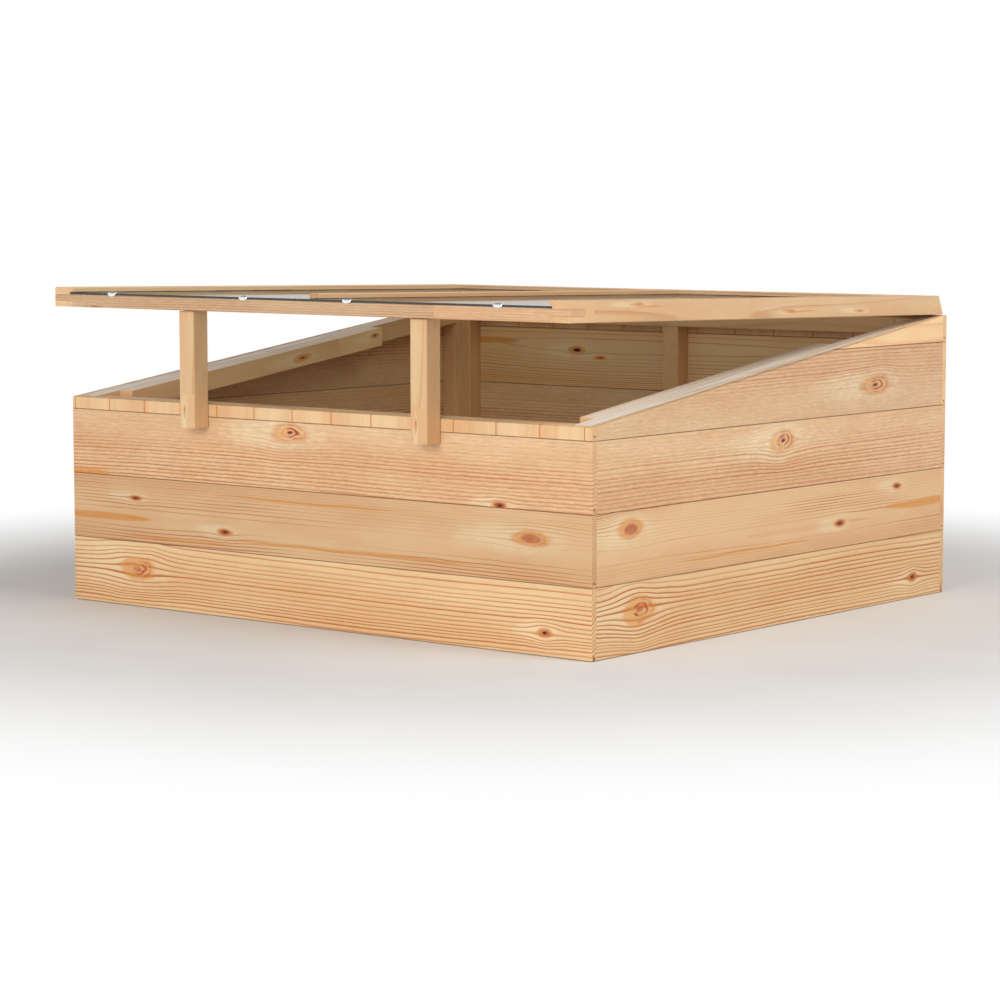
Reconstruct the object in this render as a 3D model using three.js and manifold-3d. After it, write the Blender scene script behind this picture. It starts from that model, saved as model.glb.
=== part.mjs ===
// A wooden garden cold frame with a hinged, glazed lid held open by two sliding props.
//
// Millimetres, +Z up. The front faces -Y. The origin is on the ground, in the middle of the plan
// of the whole object with the lid propped open. Shapes are drawn first in box coordinates, in
// which x runs from the box's left side, y from the front wall's outer face and z from the ground.

import * as THREE from 'three';
import { mergeVertices } from 'three/addons/utils/BufferGeometryUtils.js';
import Module from 'manifold-3d';

const wasm = await Module();
wasm.setup();

// ---------------------------------------------------------------- driving dimensions
const BOX_WIDTH = 1334;
const BOX_DEPTH = 1215;
const BOARD_PITCH = 131;
const BOARD = 14;
const BATTEN = 40;
const FRONT_HEIGHT = 419;
const REAR_HEIGHT = 579;

const TONGUE_THICK = 5;
const TONGUE_HIGH = 7;
const GROOVE_WIDE = 5.4;
const GROOVE_DEEP = 10;
const BOARD_CHAMFER = 1.2;
const BATTEN_CHAMFER = 1.5;

const INNER_BATTEN_WIDE = 36;
const INNER_BATTEN_FROM = 81;
const INNER_BATTEN_TO = 857;

const LID_INSET = 8.5;
const LID_LENGTH = 1266;
const LID_THICK = 39;
const LID_RAIL = 40;
const LID_SIDE_RAIL = 49;
const FRONT_RAIL_HIGH = 25;
const LID_RISE_DEG = 1.04;
const REAR_BEVEL = 18;
const LOWER_CHEEK = 12;
const TENON_THICK = 12;
const STUB_TENON = 15;

const PANE = 4;
const PANE_SLOT = 5;
const PANE_BITE = 6;
const PANE_GAP = 4;
const COVER_WIDE = 24;
const COVER_SETBACK = 56;
const CLIP_FROM_MIDDLE = { inner: 133, outer: 494 };
const CLIP_WIDE = 20;
const CLIP_THICK = 1.6;
const CLIP_DROP = 3;
const CLIP_LIP = 9;

const PROP = 40;
const PROP_LENGTH = 229;
const PROP_FROM_MIDDLE = 298;
const PROP_GAP = 0.5;
const PROP_LID_GAP = 0.6;
const BOLT_HEIGHT = 386;
const BOLT_RADIUS = 3;
const BOLT_HEAD = 14;
const BOLT_HEAD_THICK = 4;
const SLOT_LIP = 8;
const SLOT_NECK = 7.2;
const SLOT_WIDE = 15.2;
const SLOT_DEEP = 5.2;
const SLOT_TOP = 214;

const HINGE_FROM_MIDDLE = 430;
const HINGE_WIDE = 70;
const HINGE_LEAF = 2;
const KNUCKLE_RADIUS = 4;
const HINGE_AXIS_OUT = 4.3;
const HINGE_AXIS_HIGH = 580;
const PIN_RADIUS = 2;
const PIN_CLEAR = 0.1;
const LEAF_HIGH = 32;
const LEAF_CLEAR = 5.5;

const NUT_FROM_WALL = 2;
const NUT_HIGH = 9;
const NUT_FOOT = 7;
const NUT_FOOT_THICK = 3;
const NUT_NECK = 5.2;
const NUT_CLEAR = 0.15;
const NUT_WING = [[4, 1.5], [6.5, 1.5], [15, 8.5], [15.5, 13.5], [12, 15], [8, 12.5], [4, 8]];
const NUT_WING_THICK = 2.4;

const GAP = 0.3;

// ---------------------------------------------------------------- worked-out dimensions
const WALL = BOARD + BATTEN;
const SLOPE = (REAR_HEIGHT - FRONT_HEIGHT) / (BOX_DEPTH - BOARD);
const SLOPE_ANGLE = Math.atan(SLOPE);
const SLOPED_BATTEN = BATTEN / Math.cos(SLOPE_ANGLE);
const slopeAt = (y) => FRONT_HEIGHT + SLOPE * (y - BOARD);

const LID_WIDTH = BOX_WIDTH - 2 * LID_INSET;
const HINGE_Y = BOX_DEPTH + HINGE_AXIS_OUT;
const LID_RISE = THREE.MathUtils.degToRad(LID_RISE_DEG);

// The lid is drawn with the hinge axis as its origin and its underside level. UNDERSIDE is the
// height of that underside above the axis: with the lid shut it clears the slope by GAP.
const UNDERSIDE = GAP + HINGE_AXIS_OUT * Math.sin(SLOPE_ANGLE)
  - (HINGE_AXIS_HIGH - REAR_HEIGHT) * Math.cos(SLOPE_ANGLE);
const LID_REAR = -HINGE_AXIS_OUT - 1;
const LID_FRONT = LID_REAR - LID_LENGTH;
const PANE_LEVEL = UNDERSIDE + FRONT_RAIL_HIGH + GAP;

// The foremost point is the foot of a pane clip, and the rearmost is a hinge knuckle.
const CLIP_FRONT = LID_FRONT - GAP - CLIP_THICK;
const CLIP_LOW = UNDERSIDE + FRONT_RAIL_HIGH - CLIP_DROP;
const FRONT_Y = HINGE_Y + CLIP_FRONT * Math.cos(LID_RISE) + CLIP_LOW * Math.sin(LID_RISE);
const REAR_Y = HINGE_Y + KNUCKLE_RADIUS;
const ORIGIN = new THREE.Vector3(BOX_WIDTH / 2, (FRONT_Y + REAR_Y) / 2, 0);

const lidUndersideAt = (y) => HINGE_AXIS_HIGH + UNDERSIDE + (HINGE_Y - y) * Math.tan(LID_RISE);
const PROP_TOP = lidUndersideAt(-PROP_GAP) - PROP_LID_GAP;
const PROP_FOOT = PROP_TOP - PROP_LENGTH;

// ---------------------------------------------------------------- materials
const wood = (color) => new THREE.MeshStandardMaterial({ color, roughness: 0.62, metalness: 0 });
const PALE_SPRUCE = 0xe3b888;
const WARM_SPRUCE = 0xdbab78;
const ZINC = { color: 0xb9bcc0, roughness: 0.35, metalness: 1 };
const CLIP_METAL = { color: 0xe8ebee, roughness: 0.15, metalness: 1 };
const steel = (look = ZINC) => new THREE.MeshStandardMaterial(look);
const glass = () => new THREE.MeshStandardMaterial({
  color: 0xa9bcc2, roughness: 0.06, metalness: 0, transparent: true, opacity: 0.35,
});

// ---------------------------------------------------------------- solids
function toManifold(geometry) {
  const bare = geometry.clone();
  bare.deleteAttribute('normal');
  bare.deleteAttribute('uv');
  const merged = mergeVertices(bare, 1e-4);
  const numProp = 3;
  const vertProperties = new Float32Array(merged.attributes.position.array);
  const triVerts = new Uint32Array(merged.index.array);
  return new wasm.Manifold(new wasm.Mesh({ numProp, vertProperties, triVerts }));
}

function toGeometry(manifold) {
  const mesh = manifold.getMesh();
  const geometry = new THREE.BufferGeometry();
  geometry.setAttribute('position', new THREE.BufferAttribute(mesh.vertProperties, 3));
  geometry.setIndex(new THREE.BufferAttribute(mesh.triVerts, 1));
  geometry.computeVertexNormals();
  return geometry;
}

function cut(geometry, ...tools) {
  const start = toManifold(geometry);
  return toGeometry(tools.reduce((body, tool) => body.subtract(toManifold(tool)), start));
}

function join(...geometries) {
  return toGeometry(geometries.map(toManifold).reduce((body, next) => body.add(next)));
}

function block(x0, x1, y0, y1, z0, z1) {
  const box = new THREE.BoxGeometry(x1 - x0, y1 - y0, z1 - z0);
  return box.translate((x0 + x1) / 2, (y0 + y1) / 2, (z0 + z1) / 2);
}

function extrude(points, depth) {
  const shape = new THREE.Shape(points.map(([a, b]) => new THREE.Vector2(a, b)));
  return new THREE.ExtrudeGeometry(shape, { depth, bevelEnabled: false });
}

// An outline drawn as [y, z] and run along x.
function alongX(points, x0, x1) {
  const turn = new THREE.Matrix4().makeBasis(
    new THREE.Vector3(0, 1, 0), new THREE.Vector3(0, 0, 1), new THREE.Vector3(1, 0, 0),
  );
  return extrude(points, x1 - x0).applyMatrix4(turn).translate(x0, 0, 0);
}

// An outline drawn as [x, z] and run along y.
function alongY(points, y0, y1) {
  return extrude(points, y1 - y0).rotateX(Math.PI / 2).translate(0, y1, 0);
}

// An outline drawn as [x, y] and run up z.
function alongZ(points, z0, z1) {
  return extrude(points, z1 - z0).translate(0, 0, z0);
}

// A rectangle's outline with its four arrises planed off.
function planed(a0, a1, b0, b1, c = BATTEN_CHAMFER) {
  return [
    [a0 + c, b0], [a1 - c, b0], [a1, b0 + c], [a1, b1 - c],
    [a1 - c, b1], [a0 + c, b1], [a0, b1 - c], [a0, b0 + c],
  ];
}

function rodAlongX(radius, x0, x1, y, z, sides = 24) {
  const rod = new THREE.CylinderGeometry(radius, radius, x1 - x0, sides);
  return rod.rotateZ(Math.PI / 2).translate((x0 + x1) / 2, y, z);
}

function rodAlongY(radius, y0, y1, x, z, sides = 24) {
  const rod = new THREE.CylinderGeometry(radius, radius, y1 - y0, sides);
  return rod.translate(x, (y0 + y1) / 2, z);
}

// Everything above the line of the side walls' slope.
function aboveSlope(x0, x1) {
  const front = -BOX_DEPTH;
  const rear = 2 * BOX_DEPTH;
  const top = 2 * REAR_HEIGHT;
  return alongX([[front, slopeAt(front)], [rear, slopeAt(rear)], [rear, top], [front, top]], x0, x1);
}

// ---------------------------------------------------------------- tongue-and-groove boards
// The cross-section of one wall board, across its thickness and up its height. A board has a
// groove in its lower edge, and a tongue on its upper edge unless it ends the wall.
function boardOutline(bottom, top, hasTongue) {
  const c = BOARD_CHAMFER;
  const mid = BOARD / 2;
  const groove = GROOVE_WIDE / 2;
  const tongue = TONGUE_THICK / 2;
  const outline = [
    [c, bottom], [mid - groove, bottom], [mid - groove, bottom + GROOVE_DEEP],
    [mid + groove, bottom + GROOVE_DEEP], [mid + groove, bottom], [BOARD - c, bottom],
    [BOARD, bottom + c], [BOARD, top - c], [BOARD - c, top],
  ];
  if (hasTongue) {
    const tip = top + TONGUE_HIGH;
    outline.push([mid + tongue, top], [mid + tongue, tip - 1], [mid + tongue - 1, tip]);
    outline.push([mid - tongue + 1, tip], [mid - tongue, tip - 1], [mid - tongue, top]);
  }
  outline.push([c, top], [0, top - c], [0, bottom + c]);
  return outline;
}

// The boards of a wall of the given height, from the ground up, as [bottom, top, has a tongue].
function courses(height) {
  const list = [];
  for (let bottom = 0; bottom < height; bottom += BOARD_PITCH) {
    const top = Math.min(bottom + BOARD_PITCH, height);
    list.push([bottom, top, top < height]);
  }
  return list;
}

const model = new THREE.Group();
const box = new THREE.Group();
box.position.copy(ORIGIN).negate();
model.add(box);

function place(parent, name, geometry, material) {
  const mesh = new THREE.Mesh(geometry, material);
  mesh.name = name;
  parent.add(mesh);
  return mesh;
}

const boltHoleX = [-1, 1].map((side) => BOX_WIDTH / 2 + side * PROP_FROM_MIDDLE);
const boltHoles = (y0, y1) => boltHoleX.map(
  (x) => rodAlongY(BOLT_RADIUS + GAP / 2, y0, y1, x, BOLT_HEIGHT),
);

function buildWalls() {
  courses(FRONT_HEIGHT).forEach(([bottom, top, hasTongue], i) => {
    const board = alongX(boardOutline(bottom, top, hasTongue), 0, BOX_WIDTH);
    const holed = bottom < BOLT_HEIGHT && top > BOLT_HEIGHT;
    const drilled = holed ? cut(board, ...boltHoles(-1, BOARD + 1)) : board;
    const geometry = hasTongue ? drilled : cut(drilled, aboveSlope(-1, BOX_WIDTH + 1));
    place(box, hasTongue ? `front_board_${i + 1}` : 'front_top_board', geometry, wood(PALE_SPRUCE));
  });

  courses(REAR_HEIGHT).forEach(([bottom, top, hasTongue], i) => {
    const outline = boardOutline(bottom, top, hasTongue).map(([t, z]) => [BOX_DEPTH - BOARD + t, z]);
    const board = alongX(outline, 0, BOX_WIDTH);
    const geometry = hasTongue ? board : cut(board, aboveSlope(-1, BOX_WIDTH + 1));
    place(box, hasTongue ? `rear_board_${i + 1}` : 'rear_top_board', geometry, wood(PALE_SPRUCE));
  });

  for (const [side, x0] of [['left', 0], ['right', BOX_WIDTH - BOARD]]) {
    courses(REAR_HEIGHT).forEach(([bottom, top, hasTongue], i) => {
      const outline = boardOutline(bottom, top, hasTongue).map(([t, z]) => [x0 + t, z]);
      const board = alongY(outline, BOARD, BOX_DEPTH - BOARD);
      const reachesSlope = top + TONGUE_HIGH > FRONT_HEIGHT;
      const geometry = reachesSlope ? cut(board, aboveSlope(x0 - 1, x0 + BOARD + 1)) : board;
      place(box, hasTongue ? `${side}_board_${i + 1}` : `${side}_top_board`, geometry, wood(WARM_SPRUCE));
    });
  }
}

// ---------------------------------------------------------------- battens and posts
// A batten whose top follows the slope, cut plumb at both ends.
function slopedBatten(x0, x1, y0, y1) {
  const outline = [
    [y0, slopeAt(y0) - SLOPED_BATTEN], [y1, slopeAt(y1) - SLOPED_BATTEN],
    [y1, slopeAt(y1)], [y0, slopeAt(y0)],
  ];
  return alongX(outline, x0, x1);
}

function post(x0, y0, top) {
  return alongZ(planed(x0, x0 + BATTEN, y0, y0 + BATTEN), 0, top);
}

// A post whose top is sawn to the slope, a given height below it.
function slopedPost(x0, y0, below) {
  const tall = post(x0, y0, REAR_HEIGHT + BATTEN);
  return cut(tall, aboveSlope(x0 - 1, x0 + BATTEN + 1).translate(0, 0, -below));
}

function buildBattens() {
  const innerRear = BOX_DEPTH - BOARD;
  const rearPostY = innerRear - BATTEN;
  for (const [side, mirrored] of [['left', false], ['right', true]]) {
    const at = (x, wide) => (mirrored ? BOX_WIDTH - x - wide : x);
    const slopeX = at(BOARD, BATTEN);
    const innerX = at(WALL, INNER_BATTEN_WIDE);
    const endPostX = at(WALL, BATTEN);

    const slope = slopedBatten(slopeX, slopeX + BATTEN, BOARD, innerRear);
    place(box, `${side}_sloping_batten`, slope, wood(WARM_SPRUCE));

    const inner = slopedBatten(innerX, innerX + INNER_BATTEN_WIDE, INNER_BATTEN_FROM, INNER_BATTEN_TO);
    place(box, `${side}_inner_batten`, inner, wood(PALE_SPRUCE));

    const under = SLOPED_BATTEN + GAP;
    place(box, `${side}_front_side_post`, slopedPost(slopeX, BOARD, under), wood(WARM_SPRUCE));
    place(box, `${side}_rear_side_post`, slopedPost(slopeX, rearPostY, under), wood(WARM_SPRUCE));
    place(box, `${side}_front_end_post`, post(endPostX, BOARD, FRONT_HEIGHT - BATTEN), wood(PALE_SPRUCE));
    place(box, `${side}_rear_end_post`, slopedPost(endPostX, rearPostY, GAP), wood(PALE_SPRUCE));
  }

  const frontTop = alongX(
    planed(BOARD, WALL, FRONT_HEIGHT - BATTEN, FRONT_HEIGHT), WALL, BOX_WIDTH - WALL,
  );
  place(box, 'front_top_batten', cut(frontTop, ...boltHoles(BOARD - 1, WALL + 1)), wood(PALE_SPRUCE));

  const rearLow = REAR_HEIGHT - BATTEN;
  const rearTop = alongX(
    planed(rearPostY, innerRear, rearLow, REAR_HEIGHT + BATTEN),
    WALL + BATTEN, BOX_WIDTH - WALL - BATTEN,
  );
  place(box, 'rear_top_batten', cut(rearTop, aboveSlope(0, BOX_WIDTH)), wood(PALE_SPRUCE));

  const middleX = (BOX_WIDTH - BATTEN) / 2;
  place(box, 'rear_middle_post', post(middleX, rearPostY, rearLow), wood(PALE_SPRUCE));
}

// ---------------------------------------------------------------- lid
// Lid coordinates: x from the middle, y and z from the hinge axis, with the underside level.
const HALF_LID = LID_WIDTH / 2;
const LID_TOP = UNDERSIDE + LID_THICK;
const INNER_HALF = HALF_LID - LID_SIDE_RAIL;
const TENON_LOW = UNDERSIDE + LOWER_CHEEK;
const TENON_HIGH = TENON_LOW + TENON_THICK;

// Cuts the lid's rear ends to the bevel, leaning forward from the bottom edge.
function behindBevel() {
  const lean = REAR_BEVEL / LID_THICK;
  const edge = (z) => LID_REAR - lean * (z - UNDERSIDE);
  const low = UNDERSIDE - LID_THICK;
  const high = LID_TOP + LID_THICK;
  return alongX(
    [[edge(low), low], [LID_RAIL, low], [LID_RAIL, high], [edge(high), high]],
    -LID_WIDTH, LID_WIDTH,
  );
}

function sideRail(side) {
  const x0 = side < 0 ? -HALF_LID : INNER_HALF;
  const x1 = x0 + LID_SIDE_RAIL;
  const rail = alongY(planed(x0, x1, UNDERSIDE, LID_TOP), LID_FRONT, LID_REAR);
  const fork = (y0, y1) => block(x0 - 1, x1 + 1, y0, y1, TENON_LOW - GAP, TENON_HIGH + GAP);
  const grooveX = side < 0 ? x1 - PANE_BITE - 1 : x0 - 1;
  const groove = block(
    grooveX, grooveX + PANE_BITE + 2, LID_FRONT - 1, LID_REAR - LID_RAIL + PANE_BITE + 1,
    PANE_LEVEL - GAP, PANE_LEVEL - GAP + PANE_SLOT,
  );
  return cut(
    rail,
    fork(LID_FRONT - 1, LID_FRONT + LID_RAIL + GAP),
    fork(LID_REAR - LID_RAIL - GAP, LID_REAR + 1),
    groove,
    behindBevel(),
  );
}

// The pocket for the middle bar's stub tenon, cut in a cross rail.
function barMortise(y0, y1) {
  const half = LID_RAIL / 4;
  return block(-half - GAP, half + GAP, y0, y1, TENON_LOW - GAP, TENON_HIGH + GAP);
}

function frontRail() {
  const railTop = UNDERSIDE + FRONT_RAIL_HIGH;
  const y1 = LID_FRONT + LID_RAIL;
  const shoulder = INNER_HALF - GAP;
  const body = alongX(planed(LID_FRONT, y1, UNDERSIDE, railTop), -shoulder, shoulder);
  const tenon = block(-HALF_LID, HALF_LID, LID_FRONT, y1, TENON_LOW, TENON_HIGH);
  return cut(join(body, tenon), barMortise(y1 - STUB_TENON - GAP, y1 + 1));
}

function rearRail() {
  const y0 = LID_REAR - LID_RAIL;
  const shoulder = INNER_HALF - GAP;
  const body = alongX(planed(y0, LID_REAR, UNDERSIDE, LID_TOP), -shoulder, shoulder);
  const tenon = block(-HALF_LID, HALF_LID, y0, LID_REAR, TENON_LOW, TENON_HIGH);
  const groove = block(
    -LID_WIDTH, LID_WIDTH, y0 - 1, y0 + PANE_BITE + 1, PANE_LEVEL - GAP, PANE_LEVEL - GAP + PANE_SLOT,
  );
  return cut(
    join(body, tenon), groove, barMortise(y0 - 1, y0 + STUB_TENON + GAP), behindBevel(),
  );
}

function middleBar() {
  const half = LID_RAIL / 2;
  const y0 = LID_FRONT + LID_RAIL + GAP;
  const y1 = LID_REAR - LID_RAIL - GAP;
  const body = alongY(planed(-half, half, UNDERSIDE, UNDERSIDE + FRONT_RAIL_HIGH), y0, y1);
  const tenon = block(
    -half / 2, half / 2, y0 - STUB_TENON, y1 + STUB_TENON, TENON_LOW, TENON_HIGH,
  );
  return join(body, tenon);
}

// The T-shaped strip over the joint of the two panes; its web stands on the middle bar.
function coverStrip() {
  const half = COVER_WIDE / 2;
  const web = PANE_GAP / 2 - GAP;
  const low = UNDERSIDE + FRONT_RAIL_HIGH + GAP;
  const lip = PANE_LEVEL + PANE + GAP;
  const top = LID_TOP;
  const outline = [
    [-web, low], [web, low], [web, lip], [half, lip], [half, top - 2], [half - 2, top],
    [2 - half, top], [-half, top - 2], [-half, lip], [-web, lip],
  ];
  return alongY(outline, LID_FRONT + COVER_SETBACK, LID_REAR - LID_RAIL - GAP);
}

function pane(side) {
  const outer = side * (INNER_HALF + PANE_BITE);
  const inner = side * (PANE_GAP / 2);
  const y0 = LID_FRONT + 1;
  const y1 = LID_REAR - LID_RAIL + PANE_BITE;
  return block(
    Math.min(outer, inner), Math.max(outer, inner), y0, y1, PANE_LEVEL, PANE_LEVEL + PANE,
  );
}

// A bent retaining clip: a plate on the rail's front edge with a lip over the pane.
function clip(x) {
  const rear = CLIP_FRONT + CLIP_THICK;
  const lip = PANE_LEVEL + PANE + GAP;
  const top = lip + CLIP_THICK;
  const outline = [
    [CLIP_FRONT, CLIP_LOW], [rear, CLIP_LOW], [rear, lip], [rear + CLIP_LIP, lip],
    [rear + CLIP_LIP, top], [CLIP_FRONT + 1, top], [CLIP_FRONT, top - 1],
  ];
  return alongX(outline, x - CLIP_WIDE / 2, x + CLIP_WIDE / 2);
}

// ---------------------------------------------------------------- hinges
// A hinge is two leaves and a pin. Each leaf ends in knuckles around the pin: the lid's leaf has
// the middle one and the fixed leaf has the outer two.
const KNUCKLE_SHARES = { fixed: [[0, 1 / 3], [2 / 3, 1]], lid: [[1 / 3, 2 / 3]] };

function knuckles(spans, x0, y, z) {
  return spans.map(([from, to]) => {
    const a = x0 + from * HINGE_WIDE + GAP;
    const b = x0 + to * HINGE_WIDE - GAP;
    return rodAlongX(KNUCKLE_RADIUS, a, b, y, z);
  });
}

const leafRoots = (spans, x0, y0, y1, z0, z1) => spans.map(([from, to]) => block(
  x0 + from * HINGE_WIDE + GAP, x0 + to * HINGE_WIDE - GAP, y0, y1, z0, z1,
));

function pinBore(x0, y, z) {
  return rodAlongX(PIN_RADIUS + PIN_CLEAR, x0 - 1, x0 + HINGE_WIDE + 1, y, z);
}

function fixedLeaf(x0) {
  const y0 = BOX_DEPTH + GAP;
  const y1 = y0 + HINGE_LEAF;
  const low = HINGE_AXIS_HIGH - LEAF_HIGH;
  const high = HINGE_AXIS_HIGH - LEAF_CLEAR;
  const plate = block(x0 + GAP, x0 + HINGE_WIDE - GAP, y0, y1, low, high);
  const spans = KNUCKLE_SHARES.fixed;
  const roots = leafRoots(spans, x0, y0, y1, high - 1, HINGE_AXIS_HIGH);
  const solid = join(plate, ...roots, ...knuckles(spans, x0, HINGE_Y, HINGE_AXIS_HIGH));
  return cut(solid, pinBore(x0, HINGE_Y, HINGE_AXIS_HIGH));
}

// The lid's leaf lies on the bevelled rear face, so it is drawn upright, at that face's distance
// from the hinge axis, and then leaned forward.
function lidLeaf(x0) {
  const lean = Math.atan(REAR_BEVEL / LID_THICK);
  const y0 = LID_REAR * Math.cos(lean) + UNDERSIDE * Math.sin(lean) + GAP;
  const y1 = y0 + HINGE_LEAF;
  const leaned = (geometry) => geometry.rotateX(lean);
  const plate = leaned(block(x0 + GAP, x0 + HINGE_WIDE - GAP, y0, y1, LEAF_CLEAR, LEAF_HIGH));
  const spans = KNUCKLE_SHARES.lid;
  const roots = leafRoots(spans, x0, y0, y1, 1, LEAF_CLEAR + 1).map(leaned);
  const solid = join(plate, ...roots, ...knuckles(spans, x0, 0, 0));
  return cut(solid, pinBore(x0, 0, 0));
}

function hingePin(x0, y, z) {
  const rod = rodAlongX(PIN_RADIUS, x0, x0 + HINGE_WIDE, y, z);
  const head = rodAlongX(PIN_RADIUS + 1.2, x0 - 1.5, x0, y, z);
  return join(rod, head);
}

function buildHinges(lid) {
  for (const [side, sign] of [['left', -1], ['right', 1]]) {
    const x = sign * HINGE_FROM_MIDDLE - HINGE_WIDE / 2;
    const boxX = x + BOX_WIDTH / 2;
    place(box, `${side}_hinge_fixed_leaf`, fixedLeaf(boxX), steel());
    place(box, `${side}_hinge_pin`, hingePin(boxX, HINGE_Y, HINGE_AXIS_HIGH), steel());
    place(lid, `${side}_hinge_lid_leaf`, lidLeaf(x), steel());
  }
}

function buildLid() {
  const lid = new THREE.Group();
  lid.position.set(BOX_WIDTH / 2, HINGE_Y, HINGE_AXIS_HIGH);
  lid.rotation.x = -LID_RISE;
  box.add(lid);

  place(lid, 'lid_left_rail', sideRail(-1), wood(PALE_SPRUCE));
  place(lid, 'lid_right_rail', sideRail(1), wood(PALE_SPRUCE));
  place(lid, 'lid_front_rail', frontRail(), wood(WARM_SPRUCE));
  place(lid, 'lid_rear_rail', rearRail(), wood(PALE_SPRUCE));
  place(lid, 'lid_middle_bar', middleBar(), wood(PALE_SPRUCE));
  place(lid, 'lid_cover_strip', coverStrip(), wood(WARM_SPRUCE));
  place(lid, 'left_pane', pane(-1), glass());
  place(lid, 'right_pane', pane(1), glass());

  for (const [side, sign] of [['left', -1], ['right', 1]]) {
    for (const [where, fromMiddle] of Object.entries(CLIP_FROM_MIDDLE)) {
      place(lid, `${side}_${where}_pane_clip`, clip(sign * fromMiddle), steel(CLIP_METAL));
    }
  }
  return lid;
}

// ---------------------------------------------------------------- props
// A prop stands in front of the front wall. A T-shaped slot in its back, open at the foot, holds
// the head of a bolt through the wall, so that the prop slides up and down on the bolt.
function prop(x) {
  const y1 = -PROP_GAP;
  const y0 = y1 - PROP;
  const body = alongZ(planed(x - PROP / 2, x + PROP / 2, y0, y1), PROP_FOOT, PROP_TOP);
  const slotTop = PROP_FOOT + SLOT_TOP;
  const neck = block(
    x - SLOT_NECK / 2, x + SLOT_NECK / 2, y1 - SLOT_LIP - 1, y1 + 1, PROP_FOOT - 1, slotTop,
  );
  const undercut = block(
    x - SLOT_WIDE / 2, x + SLOT_WIDE / 2, y1 - SLOT_LIP - SLOT_DEEP, y1 - SLOT_LIP,
    PROP_FOOT - 1, slotTop,
  );
  return cut(body, neck, undercut);
}

function propBolt(x) {
  const headFront = -PROP_GAP - SLOT_LIP - (SLOT_DEEP + BOLT_HEAD_THICK) / 2;
  const headRear = headFront + BOLT_HEAD_THICK;
  const half = BOLT_HEAD / 2;
  const head = block(x - half, x + half, headFront, headRear, BOLT_HEIGHT - half, BOLT_HEIGHT + half);
  const shank = rodAlongY(BOLT_RADIUS, headRear - 1, WALL + 24, x, BOLT_HEIGHT);
  return join(head, shank);
}

// A wing nut on the bolt inside the box, against a washer's thickness from the batten.
function wingNut(x) {
  const y0 = WALL + NUT_FROM_WALL;
  const profile = [
    [0, 0], [NUT_FOOT, 0], [NUT_FOOT, NUT_FOOT_THICK], [NUT_NECK, NUT_HIGH], [0, NUT_HIGH],
  ];
  const hub = new THREE.LatheGeometry(profile.map(([r, h]) => new THREE.Vector2(r, h)), 24);
  hub.translate(x, y0, BOLT_HEIGHT);
  const wing = (sign) => {
    const flat = extrude(NUT_WING, NUT_WING_THICK).translate(0, 0, -NUT_WING_THICK / 2);
    if (sign < 0) {
      flat.rotateY(Math.PI);
    }
    return flat.translate(x, y0, BOLT_HEIGHT);
  };
  const bore = rodAlongY(BOLT_RADIUS + NUT_CLEAR, y0 - 1, y0 + NUT_HIGH + 1, x, BOLT_HEIGHT);
  return cut(join(hub, wing(1), wing(-1)), bore);
}

function buildProps() {
  ['left', 'right'].forEach((side, i) => {
    const x = boltHoleX[i];
    place(box, `${side}_prop`, prop(x), wood(WARM_SPRUCE));
    place(box, `${side}_prop_bolt`, propBolt(x), steel());
    place(box, `${side}_wing_nut`, wingNut(x), steel());
  });
}

buildWalls();
buildBattens();
buildHinges(buildLid());
buildProps();

export default model;
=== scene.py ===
import math
from math import cos, radians, sin

import bmesh
import bpy
from mathutils import Matrix, Vector


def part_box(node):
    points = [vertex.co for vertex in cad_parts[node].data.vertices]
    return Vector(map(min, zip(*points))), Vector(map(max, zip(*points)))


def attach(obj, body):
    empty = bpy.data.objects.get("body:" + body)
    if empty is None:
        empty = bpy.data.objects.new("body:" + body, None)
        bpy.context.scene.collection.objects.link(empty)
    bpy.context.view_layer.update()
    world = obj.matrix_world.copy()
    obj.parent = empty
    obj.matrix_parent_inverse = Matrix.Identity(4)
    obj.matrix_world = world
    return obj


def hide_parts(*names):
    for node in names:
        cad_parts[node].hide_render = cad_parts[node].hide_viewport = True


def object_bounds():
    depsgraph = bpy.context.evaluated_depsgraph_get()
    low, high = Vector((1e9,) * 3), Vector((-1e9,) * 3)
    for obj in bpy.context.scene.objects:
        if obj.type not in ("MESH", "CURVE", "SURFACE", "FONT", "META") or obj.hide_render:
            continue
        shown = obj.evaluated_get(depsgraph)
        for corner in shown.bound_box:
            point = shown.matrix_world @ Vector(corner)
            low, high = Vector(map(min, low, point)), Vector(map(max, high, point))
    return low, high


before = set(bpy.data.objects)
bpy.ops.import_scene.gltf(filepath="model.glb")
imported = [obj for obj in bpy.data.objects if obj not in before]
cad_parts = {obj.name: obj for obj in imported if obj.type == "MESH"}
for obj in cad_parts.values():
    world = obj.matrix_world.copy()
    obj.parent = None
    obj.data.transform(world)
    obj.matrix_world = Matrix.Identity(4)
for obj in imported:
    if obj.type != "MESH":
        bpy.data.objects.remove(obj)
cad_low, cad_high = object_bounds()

# The looks of a wooden cold frame: solid procedural spruce, float glass, plated metal, fixings,
# light and camera. Lengths are in metres. The box's front faces -Y.

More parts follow.
